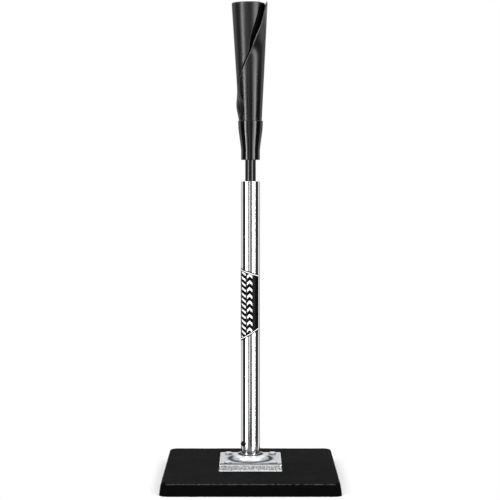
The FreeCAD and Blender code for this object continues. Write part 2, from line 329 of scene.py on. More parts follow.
def sheet_rubber(name="cone_rubber"):
    """Satin rolled sheet: faint draw lines, a fine grain, cut edges lighter from scuffing and a painted highlight,
    and duller where balls rub the rim.
    """
    m = Recipe(name)
    lines = m.noise(260, 4, 0.6, m.stretched((1.0, 1.0, 0.05)))
    cloud = m.noise(38, 5, 0.55, m.stretched((1.0, 1.0, 0.35)))
    grain = m.noise(2600, 2, 0.5)
    # cut edges lighter grey: partly scuffing, partly a painted highlight along them
    edge_wear_and_highlight = m.math("MULTIPLY", m.attribute("wear_and_edge_highlight"), m.between(m.noise(160, 4, 0.7), 0.3, 0.6))
    colour = m.mixed(cloud, grey(0.0018, 0.04), grey(0.0045, 0.06))
    colour = m.mixed(edge_wear_and_highlight, colour, grey(0.11))
    rough = m.between(m.math("ADD", cloud, m.math("MULTIPLY", lines, 0.6)), 0.5, 1.15, 0.14, 0.21)
    dull_from, dull_to = 0.555, 0.62
    rough = m.math("ADD", rough, m.between(m.split(m.place)["Z"], dull_from, dull_to, 0.0, 0.14))
    normal = m.bump(lines, 0.00025, 0.35)
    normal = m.bump(grain, 0.00004, 0.6, normal)
    return m.finish(Base_Color=colour, Roughness=rough, Normal=normal, Specular_IOR_Level=0.46)


def cast_metal():
    """As-cast aluminium: sandy and dull on its sides, a painted highlight on the hub and lighter rubbing along the
    plate's edges, and painted shade in the hollows round the hub and at the tube's foot.
    """
    m = Recipe("cast_metal")
    sand = m.noise(900, 5, 0.7)
    pits = m.cells(520)
    stain = m.noise(70, 5, 0.6)
    high = m.between(m.attribute("relief"), 0.35, 0.85)
    colour = m.mixed(stain, (0.40, 0.43, 0.46, 1), (0.62, 0.65, 0.68, 1))
    colour = m.mixed(m.between(pits, 0.0, 0.35, 0.35, 0.0), colour, grey(0.16, 0.1))
    colour = m.mixed(m.math("MULTIPLY", high, 0.6), colour, (0.86, 0.88, 0.9, 1))
    # painted shade: the colour goes dark grey round the hub's foot, in the crevice at the tube's foot and in a
    # line behind the plate's front edge, and the metal there is duller
    painted_shade = m.math("MULTIPLY", m.attribute("painted_shade"), m.between(m.noise(260, 4, 0.6), 0.25, 0.6, 0.88, 1.0))
    colour = m.mixed(painted_shade, colour, grey(0.035, 0.15))
    # painted highlight: the hub goes near white, most on its front slope, and the plate's edges are lighter from
    # rubbing; the sides keep their own speckled sandy finish
    hub_highlight_and_edge_rub, side = m.attribute("hub_highlight_and_edge_rub"), m.attribute("side")
    colour = m.mixed(hub_highlight_and_edge_rub, colour, (0.93, 0.94, 0.95, 1))
    speckle = m.between(m.noise(820, 3, 0.7), 0.38, 0.6)
    colour = m.mixed(side, colour, m.mixed(speckle, grey(0.12, 0.1), grey(0.97)))
    rough = m.between(sand, 0.3, 0.7, 0.16, 0.32)
    rough = m.math("ADD", rough, m.math("MULTIPLY", side, 0.22))
    rough = m.math("ADD", rough, m.math("MULTIPLY", painted_shade, 0.55))
    normal = m.bump(sand, 0.0001, 0.5)
    normal = m.bump(pits, 0.0001, 0.4, normal)
    metal = m.math("MULTIPLY", m.between(side, 0.0, 1.0, 0.97, 0.7), m.between(painted_shade, 0.0, 0.6, 1.0, 0.03))
    return m.finish(Base_Color=colour, Roughness=rough, Normal=normal, Metallic=metal, Specular_IOR_Level=0.03)


def drawn_metal():
    """Bright drawn aluminium: very fine lines along the tube and a trace of handling marks."""
    m = Recipe("drawn_metal")
    lines = m.noise(900, 3, 0.6, m.stretched((1.0, 1.0, 0.01)))
    marks = m.noise(60, 5, 0.6)
    colour = m.mixed(m.between(marks, 0.35, 0.7), (0.86, 0.87, 0.88, 1), (0.92, 0.93, 0.94, 1))
    rough = m.between(m.math("ADD", lines, m.math("MULTIPLY", marks, 0.5)), 0.4, 1.1, 0.09, 0.14)
    normal = m.bump(m.noise(2200, 2, 0.5), 0.000004, 0.2)
    return m.finish(Base_Color=colour, Roughness=rough, Normal=normal, Metallic=1.0)


def plated_steel(name, tint, low, high):
    """Zinc-plated or bright steel: faint turning marks and a mottled sheen."""
    m = Recipe(name)
    mottled = m.noise(420, 4, 0.6)
    fine = m.noise(2400, 2, 0.5)
    colour = m.mixed(mottled, tint, tuple(min(1.0, c * 1.18) for c in tint[:3]) + (1,))
    rough = m.between(mottled, 0.3, 0.7, low, high)
    return m.finish(Base_Color=colour, Roughness=rough, Normal=m.bump(fine, 0.00003, 0.5), Metallic=1.0)


def gloss_black(name, low, high, peel, shine=0.5):
    """Gloss black paint or moulding: slight orange peel and hairline handling marks."""
    m = Recipe(name)
    wave = m.noise(180, 2, 0.4)
    hair = m.noise(700, 3, 0.6, m.stretched((1.0, 1.0, 0.05)))
    dust = m.noise(45, 5, 0.65)
    colour = m.mixed(dust, grey(0.0008), grey(0.003, 0.05))
    rough = m.between(m.math("ADD", dust, m.math("MULTIPLY", hair, 0.5)), 0.4, 1.1, low, high)
    return m.finish(Base_Color=colour, Roughness=rough, Normal=m.bump(wave, peel, 0.5), Specular_IOR_Level=shine)


def moulded_nylon(name, colour_low, colour_high):
    """Moulded plastic with slightly cloudy colour and a fine matt skin."""
    m = Recipe(name)
    cloud = m.noise(120, 4, 0.5)
    fine = m.noise(1500, 2, 0.5)
    return m.finish(Base_Color=m.mixed(cloud, colour_low, colour_high),
                    Roughness=m.between(cloud, 0.3, 0.7, 0.38, 0.55),
                    Normal=m.bump(fine, 0.00004, 0.5), Subsurface_Weight=0.05)


def label_film():
    """Printed sticker: black field, white key line, slanted white bars and a row of chevrons.

    Its coordinates are in mm from the middle of the label.
    """
    m = Recipe("label_film")
    place = m.split(m.node("ShaderNodeTexCoord").outputs["UV"])
    across, height = place["X"], place["Y"]
    edge = m.attribute("end_distance")
    key_line = m.band(edge, 1.95, 3.25, soft=0.05)
    inside = m.between(edge, 4.2, 4.3)
    bar_slope, bar_half_pitch = 0.55, 4.0
    leaning = m.math("ADD", height, m.math("MULTIPLY", across, bar_slope))
    bars = m.between(m.math("PINGPONG", leaning, bar_half_pitch), 2.3, 2.5)
    bars = m.math("MULTIPLY", bars, m.band(across, -9.4, -1.1, soft=0.1))
    chevron_middle, chevron_half_pitch = 5.0, 5.0
    folded = m.math("ADD", height, m.math("ABSOLUTE", m.math("ADD", across, -chevron_middle)))
    chevrons = m.between(m.math("PINGPONG", folded, chevron_half_pitch), 2.9, 3.1)
    chevrons = m.math("MULTIPLY", chevrons, m.band(across, 1.1, 8.9, soft=0.1))
    print_mask = m.math("MULTIPLY", m.math("ADD", bars, chevrons), inside)
    print_mask = m.math("ADD", print_mask, key_line, clamp=True)
    fibre = m.noise(300, 3, 0.5)
    ink = m.mixed(fibre, grey(0.0012), grey(0.003))
    colour = m.mixed(print_mask, ink, grey(0.86))
    rough = m.between(fibre, 0.3, 0.7, 0.24, 0.34)
    return m.finish(Base_Color=colour, Roughness=rough, Normal=m.bump(fibre, 0.00004, 0.4),
                    Specular_IOR_Level=0.05)


# ------------------------------------------------------------------------- base

def square_ring(side, corner, z, around=512):
    """Points round a rounded square, evenly spaced by angle step within each side and corner."""
    half = side / 2
    points = []
    per_corner = around // 16
    per_side = around // 4 - per_corner
    for turn in range(4):
        spin = Matrix.Rotation(math.radians(90 * turn), 3, "Z")
        for i in range(per_side):
            y = (half - corner) * (2 * i / per_side - 1)
            points.append(spin @ Vector((half, y, 0)))
        for i in range(per_corner):
            a = math.radians(90 * i / per_corner)
            points.append(spin @ Vector((half - corner + corner * math.cos(a),
                                         half - corner + corner * math.sin(a), 0)))
    ring = np.array([tuple(p) for p in points])
    ring[:, 2] = z
    return ring


def base_block():
    """The rubber slab with its rounded, slightly scuffed edges that also carry a painted highlight along the top,
    and the pocket underneath.
    """
    foot = BASE_HIGH.x - BASE_LOW.x
    height = BASE_HIGH.z
    draft, corner, edge = 5.0 * MM, 11 * MM, 2.2 * MM
    pocket = SOLE_HIGH.x - SOLE_LOW.x + 0.6 * MM
    roof = PLATE_HIGH.z
    profile = [(pocket, 0.0), (pocket + 0.2 * MM, 0.0), (foot - 1.6 * MM, 0.0), (foot - 0.7 * MM, 0.0),
               (foot - 0.2 * MM, 0.15 * MM), (foot, 0.6 * MM)]
    for level in np.linspace(0.12, 0.82, 10):
        profile.append((foot - draft * level, height * level))
    top_side = foot - draft
    for a in np.linspace(8, 90, 8):
        lean = math.radians(a)
        profile.append((top_side - 2 * edge * (1 - math.cos(lean)), height - edge * (1 - math.sin(lean))))
    for inner in np.linspace(top_side - 2 * edge - 3 * MM, 6 * MM, 52):
        profile.append((inner, height))
    rings = [square_ring(side, min(corner, side * 0.45), z) for side, z in profile]
    roof_rings = [square_ring(side, min(6 * MM, side * 0.45), roof) for side in (6 * MM, pocket * 0.5, pocket)]
    rings = np.array(rings + roof_rings)
    count, around = rings.shape[:2]
    verts, faces = skin(rings)
    below_top = 0.2 * MM             # keeps the uneven top inside the slab's true height
    uneven = roughen(verts, 46 * MM, 0.22 * MM, 3, 3.1) + roughen(verts, 9 * MM, 0.05 * MM, 2, 8.4)
    outside = (verts[:, 2] > 0.15 * height) & (np.arange(len(verts)) // around < len(profile))
    verts[outside, 2] += uneven[outside] - below_top
    top_centre, roof_start = len(profile) - 1, len(profile)
    faces = [f for f in faces if not (f[0] // around == top_centre and f[2] // around == roof_start)]
    faces.append(tuple(top_centre * around + k for k in range(around)))
    faces.append(tuple(roof_start * around + k for k in range(around)))
    faces += [((count - 1) * around + k, (count - 1) * around + (k + 1) % around, (k + 1) % around, k)
              for k in range(around)]
    piece = make_piece("base_slab", verts, faces, "stand", ["base_block"])
    reach = np.abs(verts[:, :2]).max(axis=1)
    near_edge = np.exp(-((reach - (top_side / 2 - 0.4 * MM)) / (1.1 * MM)) ** 2)
    near_top = smoothstep(height - 2.4 * MM, height - 0.8 * MM, verts[:, 2])
    # lighter along the top edges: scuffing, and a painted highlight
    store(piece, "wear_and_edge_highlight", near_edge * near_top)
    return paint(piece, base_rubber())


# ----------------------------------------------------------------------- flange

FLANGE_SIDE = 92 * MM
FLANGE_EDGE = 1.3 * MM               # rounding along the plate's upper edge
FLANGE_CORNER = 2.6 * MM             # rounding of the plate's corners
FLASH = ((1.35, 0.05), (1.05, 0.2), (0.7, 0.5), (0.35, 0.65), (0.0, 0.6))    # mm above the underside, mm out
SOCKET_R = TUBE_R + 0.15 * MM
HUB_FOOT_R = 28.6 * MM


def hub_profile():
    """(radius, height) points from the tube's socket over the rounded shoulder and down to the face."""
    face, top = FLANGE_FACE, FLANGE_HIGH.z
    lip = 0.9 * MM
    dish, dish_width = 0.5 * MM, 9 * MM
    shoulder_r, shoulder_z, bend = 22.0 * MM, top - 4.4 * MM, 4.1 * MM
    root_r, root_bend = 28.2 * MM, 1.8 * MM
    points = fillet(SOCKET_R + lip, top - lip, lip, 180, 90, 4)
    points += [(r, top - dish * ((r - SOCKET_R) / dish_width) ** 2) for r in np.linspace(17 * MM, shoulder_r, 8)]
    points += fillet(shoulder_r, shoulder_z, bend, 84, 14, 12)
    points += fillet(root_r, face + root_bend, root_bend, 192, 270, 7)
    return points


def flange_rings(around):
    """Rings of points from the socket over the hub, out along the plate, down its sides and back below."""
    face, edge, corner = FLANGE_FACE, FLANGE_EDGE, FLANGE_CORNER
    square = square_ring(2.0, 0.0001, 0, around)
    bearing = np.arctan2(square[:, 1], square[:, 0])

    def circle(radius, z):
        """Round ring with the bearings of the square ones, so that the faces between them stay straight."""
        return np.stack([radius * np.cos(bearing), radius * np.sin(bearing), np.full(around, z)], axis=1)

    rings = [circle(SOCKET_R, face - 6 * MM)] + [circle(r, z) for r, z in hub_profile()]
    flat_side = FLANGE_SIDE - 2 * edge
    inner, outer = circle(HUB_FOOT_R, face), square_ring(flat_side, corner - edge, face, around)
    for t in np.linspace(0.04, 1, 34):
        blend = smoothstep(0, 1, t) * 0.35 + t * 0.65
        rings.append(inner * (1 - blend) + outer * blend)
    for a in np.linspace(15, 90, 6):
        lean = math.radians(a)
        grow, fall = edge * math.sin(lean), edge * (1 - math.cos(lean))
        rings.append(square_ring(flat_side + 2 * grow, corner - edge + grow, face - fall, around))
    for level in np.linspace(face - edge - 0.6 * MM, FLANGE_LOW.z + 1.7 * MM, 12):
        rings.append(square_ring(FLANGE_SIDE, corner, level, around))
    for rise, out in FLASH:
        rings.append(square_ring(FLANGE_SIDE + 2 * out * MM, corner + out * MM, FLANGE_LOW.z + rise * MM, around))
    rings.append(square_ring(FLANGE_SIDE * 0.7, corner, FLANGE_LOW.z, around))
    rings.append(circle(SOCKET_R, FLANGE_LOW.z))
    return np.array(rings)


def flange_looks(points, reach, on_side):
    """Shares from 0 to 1 at every point: the sandy sides, a painted highlight on the hub with lighter rubbing
    along the plate's edges, and painted shade in the hollows.
    """
    face = FLANGE_FACE
    height, above = points[:, 2], points[:, 2] - FLANGE_LOW.z
    on_top = smoothstep(face - 0.5 * MM, face - 0.1 * MM, height)
    on_face = smoothstep(face - 1.2 * MM, face - 1.9 * MM, height) * smoothstep(0.8 * MM, 1.6 * MM, above)
    at_edge = on_side * (1 - on_face) * 0.85
    on_hub = smoothstep(face + 1.8 * MM, face + 3.2 * MM, height)
    # painted shade in the hollow round the hub's foot, on the plate's top
    hollow_r, hollow_width = 30.5 * MM, 4.5 * MM
    hollow = np.exp(-((reach - hollow_r) / hollow_width) ** 2) * (1 - on_hub)
    # painted shade in the crevice at the tube's foot, on the hub's top
    crevice = smoothstep(20.0 * MM, 18.6 * MM, reach)
    y = points[:, 1]
    # a painted dark line of shade just behind the plate's front edge
    front_strip = smoothstep(-35.5 * MM, -38.0 * MM, y) * smoothstep(-45.4 * MM, -44.6 * MM, y)
    # painted highlight on the hub: full where it faces the front, faint elsewhere, none in the crevice
    faces_front = smoothstep(0.25, 0.75, -y / np.maximum(reach, 1e-6))
    hub_highlight_share = (0.15 + 0.85 * faces_front) * (1 - crevice)
    return {"side": on_side * on_face, "hub_highlight_and_edge_rub": np.maximum(on_hub * hub_highlight_share, at_edge),
            "painted_shade": on_top * np.clip(hollow * 1.15 + front_strip + crevice, 0, 1)}


def flange_casting():
    """The cast flange: a rough square plate that flows into a round hub with a socket for the tube."""
    verts, faces = skin(flange_rings(640), joined=True)
    smooth_verts = verts.copy()
    radial = verts * (1, 1, 0)
    reach = np.linalg.norm(radial, axis=1)
    sand = roughen(smooth_verts, 2.7 * MM, 1.0, 4, 1.7)
    lumps = roughen(smooth_verts, 6.5 * MM, 1.0, 2, 5.2)
    fine = roughen(smooth_verts, 1.3 * MM, 1.0, 2, 9.1)
    relief = sand * 0.6 + fine * 0.35 + lumps * 0.35
    half = FLANGE_SIDE / 2
    on_side = smoothstep(half - 0.8 * MM, half - 0.1 * MM, np.abs(smooth_verts[:, :2]).max(axis=1))
    above = smooth_verts[:, 2] - FLANGE_LOW.z
    free = smoothstep(SOCKET_R + 0.6 * MM, SOCKET_R + 2 * MM, reach) * smoothstep(0.1 * MM, 1 * MM, above)
    depth = (0.05 * MM + 0.26 * MM * on_side) * free
    outward = np.where(on_side[:, None] > 0.5, radial / np.maximum(reach, 1e-6)[:, None], np.array([0, 0, 1.0]))
    verts = verts + outward * ((relief - 0.6) * depth)[:, None]
    piece = make_piece("flange_cast", verts, faces, "stand", ["flange_casting"])
    store(piece, "relief", 0.5 + 0.5 * relief)
    for name, values in flange_looks(smooth_verts, reach, on_side).items():
        store(piece, name, values)
    return paint(piece, cast_metal())


def thread(radius, pitch, low, high, segments=48):
    """Rings of an outside thread: the radius rises and falls once per pitch, along a helix."""
    rings = []
    rings_per_pitch = 6
    steps = max(2, int((high - low) / (pitch / rings_per_pitch)))
    for z in np.linspace(low, high, steps):
        angles = np.linspace(0, 2 * math.pi, segments, endpoint=False)
        phase = (z / pitch - angles / (2 * math.pi)) % 1
        r = radius - 0.45 * pitch * np.abs(2 * phase - 1)
        rings.append(np.stack([r * np.cos(angles), r * np.sin(angles), np.full(segments, z)], axis=1))
    return rings


def hex_ring(flats, z, limit=None, segments=48):
    """Points round a hexagon, held inside a circle of radius `limit`."""
    angles = np.linspace(0, 2 * math.pi, segments, endpoint=False)
    local = (angles + math.pi / 6) % (math.pi / 3) - math.pi / 6
    r = flats / 2 / np.cos(local)
    if limit is not None:
        r = np.minimum(r, limit)
    return np.stack([r * np.cos(angles), r * np.sin(angles), np.full(segments, z)], axis=1)


BOLT_R, BOLT_PITCH, BOLT_FLATS = 3 * MM, 1 * MM, 10 * MM
WASHER_R = 6 * MM


def at_bolts(verts, faces, turn=0, turn_on=0):
    """Copies of a mesh at the four bolts, the first turned by `turn` degrees and each next `turn_on` more."""
    reach = WASHER_HIGH.x - WASHER_R
    corners = [Vector((x * reach, y * reach, 0)) for x in (-1, 1) for y in (-1, 1)]
    all_verts, all_faces = [], []
    for i, corner in enumerate(corners):
        rotation = Matrix.Rotation(math.radians(turn + turn_on * i), 3, "Z")
        start = len(all_verts)
        all_verts += [rotation @ Vector(v) + corner for v in verts]
        all_faces += [tuple(start + n for n in f) for f in faces]
    return all_verts, all_faces


def flange_bolts():
    """Hex-head screws with chamfered heads and real threads, each turned to a different angle."""
    seat, top, shank = WASHER_HIGH.z, BOLT_HIGH.z, 6 * MM
    chamfer = ((1.1, 5.75), (0.8, 5.35), (0.35, 4.85), (0.05, 4.3), (0.0, 3.9))      # mm below the top, radius
    rings = thread(BOLT_R, BOLT_PITCH, BOLT_LOW.z, seat - shank)
    rings += [hex_ring(BOLT_FLATS, z, BOLT_R) for z in (seat - 0.9 * shank, seat)]
    rings += [hex_ring(BOLT_FLATS, seat, 4.7 * MM), hex_ring(BOLT_FLATS, seat + 0.3 * MM, 5.5 * MM)]
    rings += [hex_ring(BOLT_FLATS, seat + 0.8 * MM)]
    rings += [hex_ring(BOLT_FLATS, top - drop * MM, limit * MM) for drop, limit in chamfer]
    verts, faces = at_bolts(*skin(rings, capped=True), turn=17, turn_on=38)
    piece = make_piece("flange_screws", verts, faces, "stand", ["flange_bolts"], sharp=28)
    return paint(piece, plated_steel("zinc_plate", (0.66, 0.68, 0.71, 1), 0.18, 0.36))


def flange_washers():
    """Plain washers, darker than the screws."""
    low, high, ease = WASHER_LOW.z, WASHER_HIGH.z, 0.3 * MM
    profile = fillet(WASHER_R - ease, high - ease, ease, 0, 90) + [(3.3 * MM, high)]
    profile += [(3.1 * MM, high - 0.2 * MM), (3.1 * MM, low)]
    profile += [(WASHER_R - 0.2 * MM, low), (WASHER_R, low + 0.2 * MM)]
    verts, faces = at_bolts(*lathe(profile, 64, joined=True))
    piece = make_piece("plain_washers", verts, faces, "stand", ["flange_washers"])
    return paint(piece, plated_steel("washer_plate", (0.28, 0.29, 0.31, 1), 0.2, 0.4))


# ----------------------------------------------------------------- tube and shaft

def button_axis():
    """Middle of the snap button on the tee's axis, and its outward direction."""
    middle = (BUTTON_LOW + BUTTON_HIGH) / 2
    out = Vector((middle.x, middle.y, 0)).normalized()
    return Vector((0, 0, middle.z)), out


def outer_tube():
    """The bright tube, with eased ends and the hole that the snap button comes through.

    Rings close above and below the hole keep its long shading triangles short.
    """
    outer, bore = TUBE_R, BUSH_HIGH.x
    low, high, ease = TUBE_LOW.z, TUBE_HIGH.z, 0.35 * MM
    centre, out = button_axis()
    hole_r, hole_margin = 4.15 * MM, 6 * MM
    levels = list(np.linspace(low + 8 * MM, high - 4 * MM, 24)) + [centre.z - hole_margin, centre.z + hole_margin]
    levels.sort()
    profile = fillet(outer - ease, low + ease, ease, -90, 0, 4) + [(outer, z) for z in levels]
    profile += fillet(outer - ease, high - ease, ease, 0, 90, 4)
    profile += fillet(bore + ease, high - ease, ease, 90, 180, 4)
    profile += [(bore, z) for z in reversed(levels)] + [(bore, low + ease), (bore + ease, low)]
    verts, faces = lathe(profile, 256, joined=True)
    piece = make_piece("bright_tube", verts, faces, "stand", ["outer_tube"], sharp=40)
    cutter_mesh = bpy.data.meshes.new("button_cutter")
    work = bmesh.new()
    place = Matrix.Translation(centre + out * outer) @ out.to_track_quat("Z", "Y").to_matrix().to_4x4()
    bmesh.ops.create_cone(work, cap_ends=True, segments=48, radius1=hole_r, radius2=hole_r,
                          depth=8 * MM, matrix=place)
    work.to_mesh(cutter_mesh)
    work.free()
    cutter = bpy.data.objects.new("button_cutter", cutter_mesh)
    bpy.context.scene.collection.objects.link(cutter)
    cut = piece.modifiers.new("hole", "BOOLEAN")
    cut.operation, cut.solver, cut.object = "DIFFERENCE", "EXACT", cutter
    drilled = bpy.data.meshes.new_from_object(piece.evaluated_get(bpy.context.evaluated_depsgraph_get()))
    piece.modifiers.remove(cut)
    bpy.data.objects.remove(cutter)
    old, piece.data = piece.data, drilled
    bpy.data.meshes.remove(old)
    drilled.name = "bright_tube"
    smooth_walls(drilled, (outer, bore))
    return paint(piece, drawn_metal())


def smooth_walls(mesh, radii):
    """Sets exact normals on the round walls of a tube, so that its reflections stay straight."""
    mesh.shade_smooth()
    normals = []
    for face in mesh.polygons:
        level = Vector((face.normal.x, face.normal.y, 0))
        for index in face.loop_indices:
            point = mesh.vertices[mesh.loops[index].vertex_index].co
            spoke = Vector((point.x, point.y, 0))
            on_wall = level.length > 0.99 and any(abs(spoke.length - r) < 0.02 * MM for r in radii)
            if on_wall and abs(level.normalized().dot(spoke.normalized())) > 0.99:
                normals.append(spoke.normalized() * math.copysign(1, level.dot(spoke)))
            else:
                normals.append(face.normal.copy())
    mesh.normals_split_custom_set(normals)


def guide_bush():
    """The nylon bush in the tube's mouth, with a rounded lead-in for the shaft."""
    outer, bore, lead_in = BUSH_HIGH.x, SHAFT_R + 0.1 * MM, 1.0 * MM
    low, high, top = BUSH_LOW.z, BUSH_HIGH.z, BUSH_HIGH.z - 0.02 * MM
    profile = [(outer, low), (outer, high - 0.3 * MM), (outer - 0.3 * MM, top), (bore + lead_in, top)]
    profile += fillet(bore + lead_in, high - lead_in, lead_in, 90, 180, 6)
    profile += [(bore, low + 0.5 * MM), (bore + 0.5 * MM, low)]
    verts, faces = lathe(profile, 96, joined=True)
    piece = make_piece("nylon_bush", verts, faces, "stand", ["guide_bush"])
    return paint(piece, moulded_nylon("bush_nylon", (0.62, 0.60, 0.55, 1), (0.75, 0.73, 0.68, 1)))


def inner_shaft():
    """The black sliding tube, with eased ends."""
    outer, bore = SHAFT_R, SHAFT_R - 1.5 * MM
    low, high, ease = SHAFT_LOW.z, SHAFT_HIGH.z, 0.4 * MM
    profile = fillet(outer - ease, low + ease, ease, -90, 0, 4)
    profile += [(outer, z) for z in np.linspace(low + 5 * MM, high - 5 * MM, 40)]
    profile += fillet(outer - ease, high - ease, ease, 0, 90, 4) + [(bore, high), (bore, low)]
    verts, faces = lathe(profile, 128, joined=True)
    piece = make_piece("sliding_shaft", verts, faces, "upper", ["inner_shaft"])
    return paint(piece, gloss_black("shaft_paint", 0.05, 0.12, 0.00003))


def collar():
    """The moulded sleeve: a straight neck, a long taper and a rounded lip, with a fine parting line."""
    low, high = COLLAR_LOW.z, COLLAR_HIGH.z
    neck, lip, flare = 13.9 * MM, COLLAR_HIGH.x, 18.1 * MM
    neck_top, flare_top, cup_floor = low + 15.0 * MM, low + 48.0 * MM, low + 41.9 * MM
    cup, bore = 16.95 * MM, SHAFT_R
    ease, lip_round = 0.7 * MM, 0.9 * MM
    profile = [(bore, low), (bore + 0.4 * MM, low), (neck - ease, low)]
    profile += fillet(neck - ease, low + ease, ease, -80, 0, 4)
    profile += [(neck, z) for z in np.linspace(low + 2 * MM, neck_top - 3 * MM, 5)]
    for t in np.linspace(0, 1, 13):
        bend = smoothstep(0, 1, t) * 0.4 + t * 0.6
        profile.append((neck + (flare - neck) * bend, neck_top - 1 * MM + (flare_top + 1 * MM - neck_top) * t))
    profile += [(flare + 0.1 * MM, flare_top + 2.5 * MM), (lip, high - 3 * MM)]
    profile += fillet(lip - lip_round, high - lip_round, lip_round, 0, 90, 6)
    profile += [(cup, high), (cup - 0.4 * MM, high - 1 * MM), (cup - 0.9 * MM, cup_floor), (bore, cup_floor)]

    def parting(angles, height):
        """A fine raised line down each side, that stops short of the rounded ends."""
        line = np.exp(-(np.sin(angles) / 0.012) ** 2)
        return line * 0.09 * MM if low + 0.8 * MM < height < high - 1.5 * MM else 0 * line

    verts, faces = lathe(profile, 360, joined=True, ripple=parting)
    piece = make_piece("moulded_collar", verts, faces, "upper", ["collar"])
    return paint(piece, gloss_black("collar_gloss", 0.06, 0.15, 0.0001))


def snap_button():
    """Domed black button with a narrow shoulder inside the tube."""
    centre, out = button_axis()
    r, dome, shoulder, shoulder_thick = 4.0 * MM, 3.2 * MM, 1.2 * MM, 1.1 * MM
    inner, tip = 8.2 * MM, TUBE_R + 5.0 * MM
    profile = [(r + shoulder, inner), (r + shoulder, inner + shoulder_thick), (r, inner + shoulder_thick)]
    profile += [(r, tip - dome - 0.2 * MM)]
    for a in np.linspace(8, 86, 14):
        lean = math.radians(a)
        profile.append((r * math.cos(lean), tip - dome + dome * math.sin(lean)))
    verts, faces = lathe(profile, 64, capped=True)
    turn = out.to_track_quat("Z", "Y").to_matrix()
    verts = [turn @ Vector(v) + centre for v in verts]
    piece = make_piece("lock_button", verts, faces, "button", ["snap_button"], sharp=50)
    return paint(piece, gloss_black("button_black", 0.14, 0.24, 0.00003, shine=0.1))


def tube_label():
    """Thin printed film bent round the tube, with sloping ends and a white key line."""
    radius, thick = TUBE_R + 0.01 * MM, 0.19 * MM
    left, right = -104.0, 54.0
    slope_x = (-15 * MM, 15 * MM)
    slope_bottom, slope_top = (205 * MM, 224 * MM), (314 * MM, 304 * MM)     # heights at those two places
    columns, rows = 180, 220
    azimuths = np.linspace(left, right, columns)
    across = TUBE_R * np.sin(np.radians(azimuths))
    bottom, top = np.interp(across, slope_x, slope_bottom), np.interp(across, slope_x, slope_top)
    along = np.radians(azimuths - (left + right) / 2) * radius
    middle_z = (LABEL_LOW.z + LABEL_HIGH.z) / 2
    verts, places, end_distance = [], [], []
    for layer in (radius, radius + thick):
        for v in np.linspace(0, 1, rows):
            for i, azimuth in enumerate(azimuths):
                z = bottom[i] + (top[i] - bottom[i]) * v
                verts.append(toward(azimuth) * layer + AXIS * z)
                places.append((along[i] / MM, (z - middle_z) / MM))
                end_distance.append(min(z - bottom[i], top[i] - z) / MM)
    faces = double_sheet_faces(columns, rows)
    piece = make_piece("tube_sticker", verts, faces, "stand", ["tube_label"])
    uv = piece.data.uv_layers.new(name="label")
    for loop in piece.data.loops:
        uv.data[loop.index].uv = places[loop.vertex_index]
    store(piece, "end_distance", end_distance)
    return paint(piece, label_film())


# ------------------------------------------------------------------- rolled cone

SHEET = 2.3 * MM                     # thickness of the rubber sheet
OVERLAP = 105.0                      # degrees that the inner end runs on under the outer one
TAPER = 0.0563                       # radius that the cone loses per unit of height
BULGE_AZIMUTH, BULGE_Z = -88, 552 * MM
# Where the sheet's free edge runs: shares of the cone's seen height, and the azimuth at each.
SEAM_SHARES = (0.0, 0.06, 0.145, 0.2, 0.245, 0.31, 0.38, 0.45, 0.51, 0.56, 0.61, 0.66, 0.71, 0.76, 0.84, 0.92, 1.0)
SEAM_AZIMUTHS = (-42, -31, -32, -50, -68, -61, -48, -28, -15.5, -1, 6.5, 11.5, 18.5, 27, 38, 46, 53)


def seam_azimuth(share):
    """Azimuth of the sheet's free edge at a share of the cone's seen height, eased between its points."""
    return float(np.interp(share + np.linspace(-0.035, 0.035, 8), SEAM_SHARES, SEAM_AZIMUTHS).mean())


def cone_sheet_point(z, past_edge):
    """Outer radius and azimuth of the rolled sheet at a height, past_edge degrees on from its free edge.

    The free edge flares out near the rim. The turn before it folds in and passes under the flap, and
    bulges a little on its way there, above the collar.
    """
    top = CONE_HIGH.z
    share = (z - COLLAR_HIGH.z) / (top - COLLAR_HIGH.z)
    azimuth = seam_azimuth(max(share, 0.0)) + past_edge
    radius = CONE_HIGH.x - (top - z) * TAPER
    high = float(smoothstep(0.53, 0.68, share))
    low = float(1 - smoothstep(0.12, 0.26, share))
    flare_height, flare_reach = 5.5 * MM, 18 * MM
    flare = flare_height * high * max(0.0, 1 - math.radians(past_edge) * radius / flare_reach) ** 2
    if past_edge <= 180:
        return radius + flare, azimuth
    run_in = math.radians(360 - past_edge) * radius
    fold = (2.2 + 5.8 * float(smoothstep(0.5, 0.8, share)) + 5.0 * low) * MM
    depth = SHEET + (0.25 + 1.5 * high + 2.6 * low) * MM
    reached = min(max((fold - run_in) / (fold + 0.4 * MM), 0.0), 1.0)
    drop = depth * (1 - (1 - reached) ** 1.6)
    off_side = azimuth - BULGE_AZIMUTH
    side = math.exp(-((off_side - 360 * round(off_side / 360)) / 30) ** 2)
    bulge = 2.8 * MM * side * math.exp(-((z - BULGE_Z) / (15 * MM)) ** 2)
    return radius + flare - drop + bulge, azimuth


